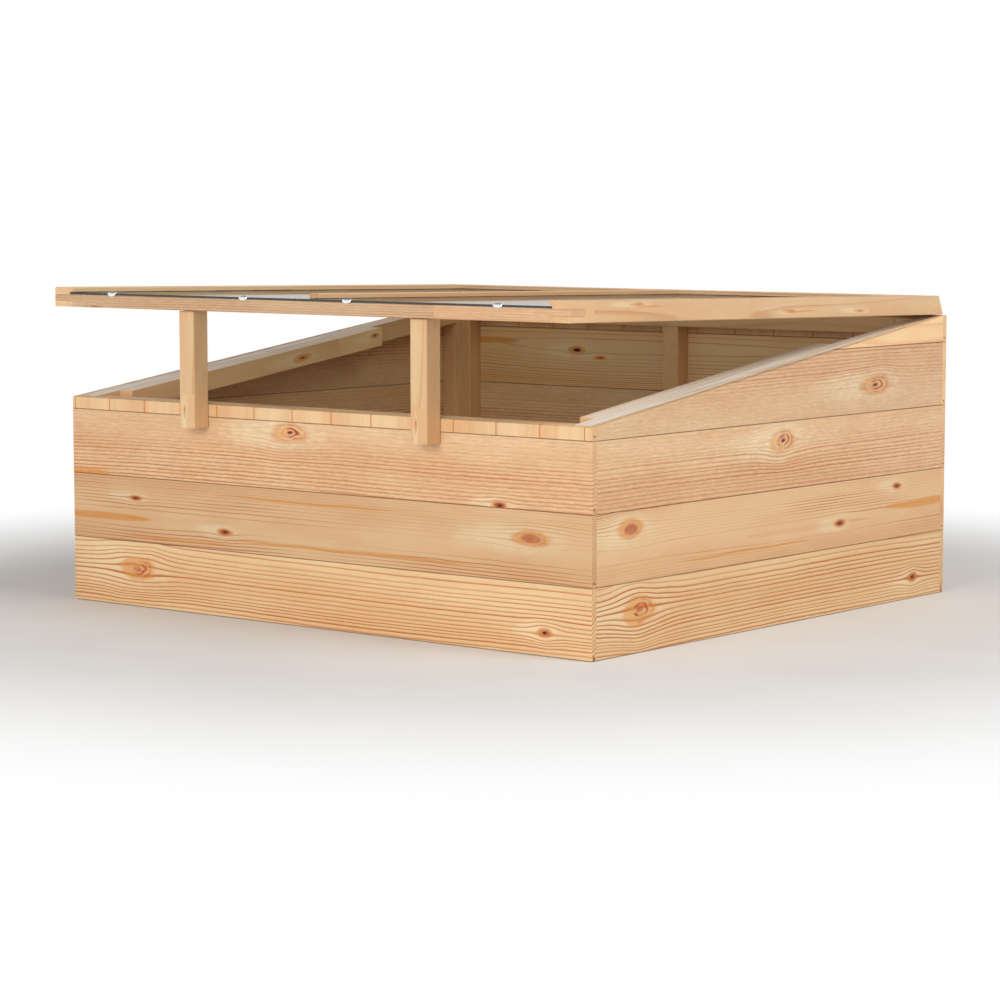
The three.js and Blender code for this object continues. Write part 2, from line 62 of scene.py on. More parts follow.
MM = 0.001
LID_RISE = radians(1.04)  # how far the propped lid rises towards the front
WALL_SLOPE = radians(7.588)  # how far the side walls rise towards the rear
BOARD_PITCH = 131 * MM  # from one wall board's lower edge to the next one's
STRIP_BLOCK = 100.7 * MM  # the width of one block in the walls' top boards
LEAF_THICK = 2 * MM
REAR_BEVEL = math.atan(18 / 39)  # the lid's rear face leans by this from its underside's normal
CLIP_HALF_WIDE = 11.0  # mm
CLIP_COLUMNS = 15
SCREW_SIDES, WASHER_SIDES = 48, 64
WALL_GLOW, CEILING_GLOW = 0.9, 0.25
FRONT_WATTS, RIGHT_WATTS = 74, 93
LENS_MM, SENSOR_MM = 106.4, 36
CAMERA_RIGHT, CAMERA_AHEAD, CAMERA_HEIGHT = 3.8106, 4.1422, 0.8214  # from the front wall's middle
CAMERA_TILT, CAMERA_TURN = radians(84.16), radians(38.99)


def srgb(red, green, blue):
    """A display colour, 0 to 255, as the linear colour that a material takes."""
    def linear(value):
        value /= 255
        return value / 12.92 if value <= 0.04045 else ((value + 0.055) / 1.055) ** 2.4
    return (linear(red), linear(green), linear(blue), 1.0)


# ---------------------------------------------------------------- node trees
class Graph:
    """A node tree, with one short call for each kind of node that the materials use."""

    def __init__(self, tree):
        self.tree = tree

    def feed(self, socket, value):
        if isinstance(value, bpy.types.NodeSocket):
            self.tree.links.new(value, socket)
        else:
            socket.default_value = value

    def add(self, kind, inputs=(), **settings):
        node = self.tree.nodes.new(kind)
        for name, value in settings.items():
            setattr(node, name, value)
        for key, value in dict(inputs).items():
            self.feed(node.inputs[key], value)
        return node

    def math(self, operation, *values):
        node = self.add("ShaderNodeMath", enumerate(values), operation=operation)
        return node.outputs[0]

    def vector(self, operation, *values):
        node = self.add("ShaderNodeVectorMath", enumerate(values), operation=operation)
        return node.outputs["Value" if operation in ("DOT_PRODUCT", "LENGTH") else "Vector"]

    def combine(self, x, y, z):
        node = self.add("ShaderNodeCombineXYZ", {"X": x, "Y": y, "Z": z})
        return node.outputs["Vector"]

    def separate(self, vector):
        return self.add("ShaderNodeSeparateXYZ", {"Vector": vector}).outputs

    def noise(self, point, stretch, detail=2.0, roughness=0.5):
        """Smooth noise about 0, reaching roughly -0.5 to 0.5, with a frequency for each axis."""
        place = self.vector("MULTIPLY", point, stretch)
        inputs = {"Vector": place, "Scale": 1.0, "Detail": detail, "Roughness": roughness}
        node = self.add("ShaderNodeTexNoise", inputs)
        return self.math("SUBTRACT", node.outputs["Fac"], 0.5)

    def random(self, value):
        node = self.add("ShaderNodeTexWhiteNoise", {"W": value}, noise_dimensions="1D")
        return node.outputs["Value"]

    def ramp(self, value, start, end, low=0.0, high=1.0):
        """A smooth step from low at start to high at end."""
        inputs = {"Value": value, "From Min": start, "From Max": end, "To Min": low, "To Max": high}
        node = self.add("ShaderNodeMapRange", inputs, interpolation_type="SMOOTHSTEP")
        return node.outputs["Result"]

    def mix(self, share, first, second, blend="MIX"):
        inputs = {0: share, 6: first, 7: second}
        node = self.add("ShaderNodeMix", inputs, data_type="RGBA", blend_type=blend)
        return node.outputs[2]

    def scaled(self, colour, factor):
        return self.mix(1.0, colour, self.combine(factor, factor, factor), "MULTIPLY")

    def group(self, tree, inputs):
        node = self.tree.nodes.new("ShaderNodeGroup")
        node.node_tree = tree
        for key, value in inputs.items():
            self.feed(node.inputs[key], value)
        return node.outputs


FLOAT, VECTOR, COLOUR = "NodeSocketFloat", "NodeSocketVector", "NodeSocketColor"


def new_group(name, inputs, outputs):
    """An empty node group. Returns its tree, a Graph for it, its inputs and its output sockets."""
    tree = bpy.data.node_groups.new(name, "ShaderNodeTree")
    for label, kind in inputs.items():
        tree.interface.new_socket(label, in_out="INPUT", socket_type=kind)
    for label, kind in outputs.items():
        tree.interface.new_socket(label, in_out="OUTPUT", socket_type=kind)
    graph = Graph(tree)
    given = graph.add("NodeGroupInput").outputs
    result = graph.add("NodeGroupOutput").inputs
    return tree, graph, given, result


# ---------------------------------------------------------------- spruce
# Wood is a solid texture. A point is (along the grain, across the face, into the face). Growth
# rings are cylinders round the tree's pith, so that lines, edges and end grain all agree.
# Marks are (stain, knot wood, dark heart), each 0 to 1.

def make_knot_group():
    """A branch cut across: an orange disc with a rim, a red-brown core or broken arcs, a dark
    heart, and pale wood on one side. Push is how far the grain bends round it.

    A knot is drawn at Point and only adds its push to Bent. If each knot were drawn at the bent
    point of the one before, the glTF exporter, which searches every path through the nodes,
    would take minutes for a board with three of them."""
    inputs = {
        "Point": VECTOR, "Bent": VECTOR, "Marks": VECTOR, "Light": FLOAT, "Along": FLOAT,
        "Across": FLOAT, "Long": FLOAT, "High": FLOAT, "Swirl": FLOAT, "Heart": FLOAT,
        "Push": FLOAT, "Core": FLOAT,
    }
    outputs = {"Bent": VECTOR, "Marks": VECTOR, "Light": FLOAT}
    tree, g, given, result = new_group("Knot", inputs, outputs)
    point = given["Point"]
    xyz = g.separate(point)
    da = g.math("SUBTRACT", xyz["X"], given["Along"])
    dw = g.math("SUBTRACT", xyz["Y"], given["Across"])
    wobble = g.noise(point, (40, 75, 20), detail=2)
    skew = g.math("MULTIPLY", g.noise(point, (12, 12, 8), detail=0), given["High"])
    a = g.math("DIVIDE", da, given["Long"])
    w = g.math("DIVIDE", g.math("ADD", dw, skew), given["High"])
    away = g.vector("LENGTH", g.combine(a, w, 0.0))
    reach = g.math("MULTIPLY", away, g.math("MULTIPLY_ADD", wobble, 0.5, 1.0))

    fall = g.math("EXPONENT", g.math("MULTIPLY", g.math("POWER", away, 2.0), -0.3))
    push = g.math("MULTIPLY", dw, g.math("MULTIPLY", fall, given["Push"]))
    g.feed(result["Bent"], g.vector("SUBTRACT", given["Bent"], g.combine(0.0, push, 0.0)))

    rim = g.ramp(g.math("ABSOLUTE", g.math("SUBTRACT", reach, 0.9)), 0.26, 0.02)
    plain = g.math("MULTIPLY_ADD", given["Swirl"], -0.8, 1.0)
    disc = g.math("MULTIPLY", g.ramp(reach, 1.15, 0.75, 0.0, 0.85), plain)
    brim = g.math("MULTIPLY", rim, g.math("MULTIPLY_ADD", given["Swirl"], -0.45, 0.75))
    curl = g.noise(point, (46, 78, 20), detail=1)
    turns = g.math("SINE", g.math("MULTIPLY_ADD", reach, 17.0, g.math("MULTIPLY", curl, 7.0)))
    arcs = g.math("MULTIPLY", g.ramp(turns, -0.1, 0.7), g.ramp(reach, 1.05, 0.5))
    side = g.math("MULTIPLY_ADD", curl, 2.2, a)
    arcs = g.math("MULTIPLY", arcs, g.ramp(side, -0.35, 0.15))
    strokes = g.math("MAXIMUM", arcs, g.ramp(reach, 0.34, 0.1, 0.0, 0.75))
    flare = g.math("MULTIPLY", g.ramp(turns, -0.9, 0.6), g.ramp(reach, 1.3, 0.5))
    tinge = g.math("MULTIPLY", g.math("MULTIPLY", flare, given["Swirl"]), 0.8)
    stain = g.math("MAXIMUM", g.math("MAXIMUM", disc, brim), tinge)
    solid = g.ramp(g.math("DIVIDE", reach, given["Core"]), 1.15, 0.7)
    solid = g.math("MULTIPLY", solid, g.math("SUBTRACT", 1.0, given["Swirl"]))
    drawn = g.math("MINIMUM", g.math("MULTIPLY", given["Swirl"], 2.0), 1.0)
    strokes = g.math("MULTIPLY", strokes, drawn)
    wood = g.math("MAXIMUM", solid, strokes)
    wood = g.math("MULTIPLY", wood, g.math("MULTIPLY_ADD", curl, 0.9, 0.95))
    heart = g.ramp(g.math("DIVIDE", reach, given["Heart"]), 1.15, 0.6)
    marks = g.combine(stain, wood, heart)
    g.feed(result["Marks"], g.vector("MAXIMUM", given["Marks"], marks))
    beside = g.math("MULTIPLY_ADD", a, 0.62, 0.75)
    apart = g.vector("LENGTH", g.combine(beside, w, 0.0))
    apart = g.math("MULTIPLY", apart, g.math("MULTIPLY_ADD", wobble, 0.9, 1.0))
    glow = g.math("MULTIPLY", g.ramp(apart, 2.5, 0.9), g.ramp(reach, 1.0, 1.35))
    g.feed(result["Light"], g.math("MAXIMUM", given["Light"], glow))
    return tree


def make_streak_group():
    """A long orange resin streak that ends in a soft point."""
    inputs = {
        "Point": VECTOR, "Marks": VECTOR, "Along": FLOAT, "Across": FLOAT, "Long": FLOAT,
        "High": FLOAT,
    }
    tree, g, given, result = new_group("Streak", inputs, {"Marks": VECTOR})
    xyz = g.separate(given["Point"])
    drift = g.math("MULTIPLY", g.noise(given["Point"], (5, 5, 5), detail=1), 0.012)
    a = g.math("DIVIDE", g.math("SUBTRACT", xyz["X"], given["Along"]), given["Long"])
    dw = g.math("ADD", g.math("SUBTRACT", xyz["Y"], given["Across"]), drift)
    w = g.math("DIVIDE", dw, given["High"])
    square = g.math("ADD", g.math("MULTIPLY", a, a), g.math("MULTIPLY", w, w))
    stain = g.ramp(square, 1.15, 0.55, 0.0, 0.9)
    g.feed(result["Marks"], g.vector("MAXIMUM", given["Marks"], g.combine(stain, 0.0, 0.0)))
    return tree


def make_joint_group():
    """A glued finger joint: the grain and its tone jump at Along, on a zigzag through the piece."""
    inputs = {"Point": VECTOR, "Tone": FLOAT, "Along": FLOAT, "Jump": FLOAT}
    tree, g, given, result = new_group("Finger joint", inputs, {"Point": VECTOR, "Tone": FLOAT})
    xyz = g.separate(given["Point"])
    tooth = g.math("PINGPONG", g.math("MULTIPLY", xyz["Z"], 1000 / 3.8), 1.0)
    edge = g.math("MULTIPLY_ADD", tooth, 10 * MM, given["Along"])
    past = g.math("GREATER_THAN", xyz["X"], edge)
    jump = g.combine(1.7, 0.011, 0.023)
    shift = g.add("ShaderNodeVectorMath", {"Vector": jump, "Scale": past}, operation="SCALE")
    g.feed(result["Point"], g.vector("ADD", given["Point"], shift.outputs["Vector"]))
    g.feed(result["Tone"], g.math("MULTIPLY_ADD", past, given["Jump"], given["Tone"]))
    return tree


def make_spruce_group():
    """Planed spruce: ring lines over a drifting ground, with fibres and marks on top."""
    inputs = {
        "Point": VECTOR, "Marks": VECTOR, "Tone": FLOAT, "Seed": FLOAT, "Pith across": FLOAT,
        "Pith depth": FLOAT, "Ring": FLOAT, "Lines": FLOAT, "Figure": FLOAT, "Fade from": FLOAT,
        "Fade to": FLOAT, "Bare": FLOAT, "Light": FLOAT, "End grain": FLOAT, "Edge": FLOAT,
        "Pale": COLOUR, "Warm": COLOUR, "Line": COLOUR,
    }
    outputs = {"Colour": COLOUR, "Roughness": FLOAT, "Height": FLOAT}
    tree, g, given, result = new_group("Spruce", inputs, outputs)
    seed = g.vector("MULTIPLY", (7.31, 3.17, 5.73), g.combine(*[given["Seed"]] * 3))
    place = g.vector("ADD", given["Point"], seed)
    xyz = g.separate(given["Point"])

    # Ring lines, bent by slow waves and by fine ones. A line stays narrow where the rings meet
    # the face at a shallow angle and so lie far apart.
    slow = g.noise(place, (1.3, 3.5, 3.5), detail=1)
    quick = g.noise(place, (14, 34, 34), detail=2)
    fine = g.noise(place, (85, 210, 210), detail=1)
    across = g.math("MULTIPLY_ADD", slow, 0.016, xyz["Y"])
    across = g.math("MULTIPLY_ADD", quick, 0.0022, across)
    bend = g.math("MULTIPLY", given["Figure"], 0.0026)
    across = g.math("MULTIPLY_ADD", fine, bend, across)
    depth = g.math("MULTIPLY_ADD", slow, 0.010, xyz["Z"])
    u = g.math("SUBTRACT", across, given["Pith across"])
    v = g.math("SUBTRACT", depth, given["Pith depth"])
    radius = g.vector("LENGTH", g.combine(u, v, 0.0))
    spread = g.noise(g.combine(radius, given["Seed"], 0.0), (42, 3.1, 1), detail=1)
    rings = g.math("MULTIPLY_ADD", spread, 1.5, g.math("DIVIDE", radius, given["Ring"]))
    part = g.math("FRACT", rings)
    steep = g.math("DIVIDE", g.math("ABSOLUTE", u), radius)
    slim = g.math("MAXIMUM", g.math("MAXIMUM", steep, 0.22), given["End grain"])
    short = g.math("DIVIDE", g.math("SUBTRACT", 1.0, part), slim)
    late = g.math("MULTIPLY", g.ramp(short, 0.6, 0.2), g.ramp(short, 0.0, 0.1))
    dice = g.random(g.math("ADD", g.math("FLOOR", rings), given["Seed"]))
    clear = g.math("MULTIPLY", given["Bare"], 0.2)
    patch = g.ramp(
        g.math("SUBTRACT", g.noise(place, (2.3, 14, 14), detail=1), clear), -0.22, 0.08,
        g.math("SUBTRACT", 1.0, given["Bare"]), 1.0,
    )
    fade = g.ramp(xyz["Y"], given["Fade from"], given["Fade to"], 1.0, 0.18)
    power = g.math("MULTIPLY", g.math("MULTIPLY_ADD", dice, 0.55, 0.5), given["Lines"])
    power = g.math("MULTIPLY", g.math("MULTIPLY", power, patch), fade)
    power = g.math("MULTIPLY", power, g.math("MULTIPLY_ADD", given["End grain"], -0.15, 1.0))
    line = g.math("MINIMUM", g.math("MULTIPLY", late, power), 1.0)
    halo = g.math("MULTIPLY", g.ramp(short, 0.95, 0.3), power)

    # The ground colour drifts between pale and pinkish, with fine fibres along the grain.
    drift = g.noise(place, (0.9, 11, 11), detail=3)
    cloud = g.noise(place, (7, 22, 22), detail=3)
    ground = g.math("ADD", drift, g.math("MULTIPLY", cloud, 0.45))
    colour = g.mix(g.ramp(ground, -0.22, 0.22), given["Pale"], given["Warm"])
    colour = g.mix(g.math("MULTIPLY", given["Light"], 0.55), colour, srgb(244, 222, 180))
    colour = g.mix(g.math("MULTIPLY", halo, 0.10), colour, given["Line"])
    colour = g.mix(line, colour, given["Line"])
    fibre = g.noise(place, (16, 900, 900), detail=2, roughness=0.65)
    scale = g.noise(place, (48, 330, 330), detail=2)
    relief = g.math("MULTIPLY", scale, given["Figure"])
    bright = g.math("MULTIPLY_ADD", fibre, 0.16, 1.0)
    # Painted light and shade: the relief's bumps also lighten and darken the colour, besides the
    # bump below.
    bright = g.math("MULTIPLY_ADD", relief, 0.5, bright)

    # Stain, knot wood and heart lie over the grain.
    marks = g.separate(given["Marks"])
    colour = g.mix(g.math("MULTIPLY", marks["X"], 0.85), colour, srgb(224, 148, 58))
    colour = g.mix(g.math("MULTIPLY", marks["Y"], 0.92), colour, srgb(176, 58, 30))
    colour = g.mix(g.math("MULTIPLY", marks["Z"], 0.97), colour, srgb(58, 8, 16))

    # End grain drinks more light, planed edges catch a little more.
    bright = g.math("MULTIPLY", bright, given["Tone"])
    bright = g.math("MULTIPLY", bright, g.math("MULTIPLY_ADD", given["End grain"], -0.02, 1.0))
    bright = g.math("MULTIPLY_ADD", given["Edge"], 0.07, bright)
    g.feed(result["Colour"], g.scaled(colour, bright))

    rough = g.math("MULTIPLY_ADD", fibre, 0.25, 0.52)
    rough = g.math("MULTIPLY_ADD", given["End grain"], 0.2, rough)
    g.feed(result["Roughness"], g.math("MULTIPLY_ADD", marks["Y"], -0.12, rough))
    height = g.math("MULTIPLY_ADD", line, 0.5, g.math("MULTIPLY", fibre, 0.5))
    height = g.math("MULTIPLY_ADD", relief, 3.0, height)
    g.feed(result["Height"], g.math("MULTIPLY_ADD", marks["Y"], 0.4, height))
    return tree


KNOT = make_knot_group()
STREAK = make_streak_group()
JOINT = make_joint_group()
SPRUCE = make_spruce_group()

PALE = srgb(235, 200, 152)
WARM = srgb(227, 178, 128)
LINE = srgb(194, 111, 50)
SEAM = srgb(112, 84, 58)
# The two shades of the painted sheen on up-facing tops.
SHEEN_WHITE = srgb(250, 241, 229)
SHEEN_GREY = srgb(220, 202, 182)
NO_FADE = (9.0, 10.0)


def sawn(pith, ring, lines, figure, fade=NO_FADE, bare=0.5, ground=(PALE, WARM)):
    """How a piece was cut from its log: where the pith lies in the cross-section (across, into
    the face), the width of a ring, how strong the lines and the fine relief are, where across
    the face the lines fade out, how patchy they are, and the two shades of the wood."""
    return dict(
        pith=pith, ring=ring * MM, lines=lines, figure=figure, fade=fade, bare=bare,
        ground=ground,
    )


YELLOW = (srgb(236, 203, 154), srgb(229, 186, 134))
TAN = (srgb(235, 198, 153), srgb(226, 179, 134))
PINK = (srgb(237, 197, 148), srgb(228, 178, 130))
LINED = sawn((0.190, 0.10), 6.4, 1.35, 0.2, fade=(0.10, 0.16), bare=0.25, ground=YELLOW)
SMOOTH = sawn((0.050, 0.045), 4.4, 1.35, 0.05, bare=0.8, ground=PINK)
FIGURED = sawn((0.215, 0.03), 7.2, 1.0, 0.9, fade=(0.060, 0.105), bare=0.3, ground=TAN)
FIGURED_TURNED = sawn((-0.085, 0.03), 7.2, 0.85, 0.9, fade=(0.080, 0.040), bare=0.4, ground=TAN)
QUIET = sawn((0.02, 0.30), 6.5, 0.45, 0.2)
STRAIGHT = sawn((-0.25, 0.02), 5.0, 0.6, 0.25)


def knot(along, across, long, high, swirl=0.0, heart=0.3, push=0.75, core=0.5):
    """A knot, in millimetres from the piece's near end and lower edge."""
    return dict(
        kind=KNOT, Along=along * MM, Across=across * MM, Long=long * MM, High=high * MM,
        Swirl=swirl, Heart=heart, Push=push, Core=core,
    )


def streak(along, across, long, high):
    return dict(kind=STREAK, Along=along * MM, Across=across * MM, Long=long * MM, High=high * MM)


def wood_material(
    name, origin, grain, across, cut, seed, marks=(), joint=None, tone=1.0, blocks=False,
    seam=None, bleached=0.0,
):
    """The material of one wooden piece. grain and across are directions in the row frame."""
    grain = Vector(grain).normalized()
    across = Vector(across).normalized()
    into = grain.cross(across)
    material = bpy.data.materials.new(name)
    material.use_nodes = True
    g = Graph(material.node_tree)
    shader = material.node_tree.nodes["Principled BSDF"]
    place = g.add("ShaderNodeTexCoord").outputs
    local = g.vector("SUBTRACT", place["Object"], tuple(origin))
    axes = [g.vector("DOT_PRODUCT", local, tuple(axis)) for axis in (grain, across, into)]
    point = g.combine(*axes)
    facing = g.math("ABSOLUTE", g.vector("DOT_PRODUCT", place["Normal"], tuple(grain)))
    end = g.ramp(facing, 0.6, 0.85)
    rounded = g.add("ShaderNodeBevel", {"Radius": 1.6 * MM}, samples=4).outputs["Normal"]
    sharp = g.add("ShaderNodeNewGeometry").outputs["Normal"]
    edge = g.ramp(g.vector("DOT_PRODUCT", rounded, sharp), 0.985, 0.86)

    bent, tone_now = point, tone
    spots, light = (0.0, 0.0, 0.0), 0.0
    for mark in marks:
        inputs = {key: value for key, value in mark.items() if key != "kind"}
        inputs["Marks"] = spots
        if mark["kind"] is KNOT:
            made = g.group(KNOT, {**inputs, "Point": point, "Bent": bent, "Light": light})
            spots, light, bent = made["Marks"], made["Light"], made["Bent"]
        else:
            spots = g.group(STREAK, {**inputs, "Point": bent})["Marks"]
    for along, jump in joint or ():
        made = g.group(JOINT, {"Point": bent, "Tone": tone_now, "Along": along * MM, "Jump": jump})
        bent, tone_now = made["Point"], made["Tone"]
    if blocks:
        tone_now = block_tone(g, axes[1], tone, seed)

    fade_from, fade_to = cut["fade"]
    made = g.group(SPRUCE, {
        "Point": bent, "Marks": spots, "Tone": tone_now, "Seed": seed,
        "Pith across": cut["pith"][0], "Pith depth": cut["pith"][1], "Ring": cut["ring"],
        "Lines": cut["lines"], "Figure": cut["figure"], "Fade from": fade_from,
        "Fade to": fade_to, "Bare": cut["bare"], "Light": light, "End grain": end, "Edge": edge,
        "Pale": cut["ground"][0], "Warm": cut["ground"][1], "Line": LINE,
    })
    colour = made["Colour"]
    if blocks:
        colour = g.mix(block_seam(g, axes[1]), colour, srgb(206, 122, 54))
    if seam is not None:
        colour = g.mix(board_seam(g, axes[seam]), colour, SEAM)
    # Painted sheen: faces that look up are painted towards grey-white, in streaks, standing in for
    # the white sky's reflection on the tops.
    if bleached:
        sheen_share = g.ramp(g.separate(place["Normal"])["Z"], 0.8, 0.97, 0.0, bleached)
        streaks = g.ramp(g.noise(bent, (5, 110, 110), detail=3), -0.22, 0.16)
        colour = g.mix(sheen_share, colour, g.mix(streaks, SHEEN_GREY, SHEEN_WHITE))
    bump = g.add("ShaderNodeBump", {
        "Strength": 0.6, "Distance": 0.4 * MM, "Height": made["Height"],
    })
    g.feed(shader.inputs["Base Color"], colour)
    g.feed(shader.inputs["Roughness"], made["Roughness"])
    g.feed(shader.inputs["Normal"], bump.outputs["Normal"])
    shader.inputs["Specular IOR Level"].default_value = 0.45
    return material


def board_seam(g, up):
    """The grey shadow line that runs along a board's lower and upper edges."""
    apart = g.math("PINGPONG", up, BOARD_PITCH / 2)
    return g.ramp(apart, 1.4 * MM, 0.5 * MM, 0.0, 0.62)


def block_seam(g, across):
    """A thin orange line at every block's edge."""
    apart = g.math("PINGPONG", g.math("ADD", across, -7.4 * MM), STRIP_BLOCK / 2)
    return g.ramp(apart, 2.2 * MM, 0.9 * MM, 0.0, 0.9)


def block_tone(g, across, tone, seed):
    """Soft bands of a few shades within the blocks."""
    bands = g.noise(g.combine(across, seed, 0.0), (34, 2.3, 1), detail=1)
    steps = g.math("SNAP", bands, 0.11)
    return g.math("MULTIPLY_ADD", steps, 0.16, tone)


# ---------------------------------------------------------------- wood, piece by piece
X, Y, Z = Vector((1, 0, 0)), Vector((0, 1, 0)), Vector((0, 0, 1))
DOWN_LID = Vector((0, cos(LID_RISE), -sin(LID_RISE)))
UP_LID = Vector((0, sin(LID_RISE), cos(LID_RISE)))
UP_SLOPE = Vector((0, cos(WALL_SLOPE), sin(WALL_SLOPE)))
OFF_SLOPE = Vector((0, -sin(WALL_SLOPE), cos(WALL_SLOPE)))


def low_corner(node):
    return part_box(node)[0]


def lid_corner(node):
    """The piece's front left corner on the lid's underside."""
    low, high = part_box(node)
    return Vector((low.x, low.y, low.z + (high.y - low.y) * math.tan(LID_RISE)))


def dress_wood(node, grain, across, cut, seed, origin=None, **details):
    corner = low_corner(node) if origin is None else origin
    material = wood_material(f"spruce_{node}", corner, grain, across, cut, seed, **details)
    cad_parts[node].data.materials.clear()
    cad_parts[node].data.materials.append(material)


def dress_walls():
    lower = [
        knot(184, 76, 46, 23, 0.45, 0.02, 0.7, 0.3), knot(1228, 42, 17, 10, 0.5, 0.35, 0.9, 0.8),
    ]
    middle = [
        knot(181, 89, 18, 6.5, 0.0, 0.38, 0.75, 0.78), knot(430, 38, 20, 7, 0.0, 0.34, 0.75, 0.8),
        knot(1196, 79, 42, 15, 0.25, 0.02, 0.6, 0.58), streak(85, 46, 150, 8),
        streak(760, 22, 330, 3), streak(300, 12, 150, 2.5), streak(640, 108, 260, 2.5),
    ]
    upper = [
        knot(606, 106, 44, 17, 1.0, 0.14, 0.7), knot(1124, 5, 18, 7, 0.0, 0.38, 0.75, 0.78),
        streak(30, 3, 80, 8),
    ]
    dress_wood("front_board_1", X, Z, LINED, 1.0, marks=lower, seam=1)
    dress_wood("front_board_2", X, Z, SMOOTH, 2.0, marks=middle, seam=1, tone=0.82)
    dress_wood("front_board_3", X, Z, FIGURED, 3.0, marks=upper, seam=1, tone=0.94)

    right = [
        (LINED, [
            knot(130, 77, 44, 26, 0.45, 0.02, 0.7, 0.3),
            knot(1077, 42, 18, 11, 0.5, 0.35, 0.9, 0.8),
        ]),
        (SMOOTH, [
            knot(102, 96, 38, 16, 0.25, 0.02, 0.6, 0.58),
            knot(799, 47, 20, 7.5, 0.0, 0.36, 0.75, 0.8),
            knot(1013, 108, 18, 7.5, 0.0, 0.38, 0.75, 0.78), streak(1110, 66, 150, 9),
            streak(480, 24, 240, 2.5),
        ]),
        (FIGURED, [knot(593, 92, 40, 19, 1.0, 0.14, 0.7)]),
        (FIGURED_TURNED, [knot(924, 55, 52, 18, 1.0, 0.14, 0.7)]),
    ]
    for i, (cut, marks) in enumerate(right):
        tone = (0.99, 0.93, 0.94, 0.86)[i]
        dress_wood(f"right_board_{i + 1}", Y, Z, cut, 11.0 + i, marks=marks, seam=1, tone=tone)
        inside = marks if i < 2 else [knot(150, 40, 20, 9)]
        dress_wood(f"left_board_{i + 1}", Y, Z, cut, 21.0 + i, marks=inside, seam=1, tone=tone)
    dress_wood("right_top_board", Y, Z, QUIET, 15.0, tone=1.1, seam=1)
    dress_wood("left_top_board", Y, Z, QUIET, 25.0, seam=1)

    rear = [
        (LINED, [knot(905, 60, 34, 20, 0.7, 0.1, 0.8, 0.6)]),
        (SMOOTH, [knot(300, 80, 24, 11, 0.1, 0.3), knot(1010, 35, 17, 8, 0.0, 0.42)]),
        (FIGURED, [knot(760, 70, 38, 16, 1.0, 0.15)]),
        (sawn((0.098, 0.055), 4.6, 0.9, 0.1, bare=0.5, ground=YELLOW), [
            knot(378, 82, 24, 9, 0.05, 0.4), knot(444, 68, 18, 5, 0.0, 0.02, 0.3),
            streak(120, 99, 95, 8), knot(1120, 70, 28, 12, 0.2, 0.25),
        ]),
    ]
    for i, (cut, marks) in enumerate(rear):
        tone = (1.0, 1.0, 1.0, 1.06)[i]
        dress_wood(f"rear_board_{i + 1}", X, Z, cut, 31.0 + i, marks=marks, seam=1, tone=tone)

    strip = sawn((0.4, 0.3), 26, 0.12, 0.08)
    for node, seed in (("front_top_board", 41.0), ("rear_top_board", 42.0)):
        dress_wood(node, Z, X, strip, seed, blocks=True, tone=0.98, seam=0)


def dress_battens():
    # The battens' up-facing tops get a painted sheen.
    for side, seed in (("left", 51.0), ("right", 61.0)):
        dress_wood(
            f"{side}_sloping_batten", UP_SLOPE, X, STRAIGHT, seed, joint=[(520, -0.04)],
            bleached=0.85,
        )
        knots = [knot(520, 16, 26, 8, 0.3, 0.2), knot(760, 26, 16, 6, 0.5, 0.3)]
        dress_wood(
            f"{side}_inner_batten", UP_SLOPE, OFF_SLOPE, QUIET, seed + 1, marks=knots,
            joint=[(636, 0.07)], bleached=0.65, tone=1.1,
        )
        for i, name in enumerate(("front_side", "rear_side", "front_end", "rear_end")):
            cut = STRAIGHT if i % 2 else sawn((0.30, -0.04), 5.0, 0.8, 0.25)
            dress_wood(f"{side}_{name}_post", Z, X, cut, seed + 2 + i)
    dress_wood("front_top_batten", X, Z, STRAIGHT, 71.0, joint=[(410, 0.04), (930, -0.03)])
    dress_wood("rear_top_batten", X, Z, QUIET, 72.0, joint=[(300, 0.05), (810, -0.06)])
    dress_wood("rear_middle_post", Z, X, sawn((0.02, 0.30), 6.5, 0.45, 0.7), 73.0)


def dress_lid():
    knots = [
        knot(195, 32, 20, 3, 0.9, 0.05, 0.6), knot(690, 15, 24, 3.5, 0.9, 0.05, 0.6),
        knot(940, 12, 18, 3, 0.9, 0.05, 0.6), streak(230, 29, 46, 1.6), streak(730, 13, 60, 1.6),
    ]
    upright = sawn((0.015, 0.24), 5.5, 0.75, 0.1)
    dress_wood(
        "lid_right_rail", DOWN_LID, UP_LID, upright, 81.0, origin=lid_corner("lid_right_rail"),
        marks=knots, joint=[(58, -0.05)], tone=0.91,
    )
    dress_wood(
        "lid_left_rail", DOWN_LID, UP_LID, upright, 82.0, origin=lid_corner("lid_left_rail"),
        marks=[knot(410, 22, 20, 5, 0.5, 0.2)], joint=[(640, 0.04)], tone=0.95,
    )
    level = sawn((-0.24, 0.06), 4.6, 0.75, 0.7, ground=TAN)
    dress_wood(
        "lid_front_rail", X, UP_LID, level, 83.0, origin=lid_corner("lid_front_rail"),
        marks=[knot(112, 2, 28, 3, 0.5, 0.02)], joint=[(1003, 0.16)], tone=0.71,
    )
    dress_wood(
        "lid_rear_rail", X, UP_LID, level, 84.0, origin=lid_corner("lid_rear_rail"),
        joint=[(480, 0.05)], tone=0.95,
    )
    flat = sawn((0.01, -0.22), 5.0, 0.8, 0.2)
    for node, seed in (("lid_middle_bar", 85.0), ("lid_cover_strip", 86.0)):
        dress_wood(node, DOWN_LID, X, flat, seed, origin=lid_corner(node), tone=0.95)


def dress_props():
    upright = sawn((0.02, 0.22), 5.0, 0.55, 0.12)
    for side, seed in (("left", 91.0), ("right", 92.0)):
        dress_wood(
            f"{side}_prop", Z, X, upright, seed, marks=[knot(33, 13, 13, 3, 0.8, 0.1, 0.5)],
            joint=[(66, -0.04)], tone=0.90,
        )


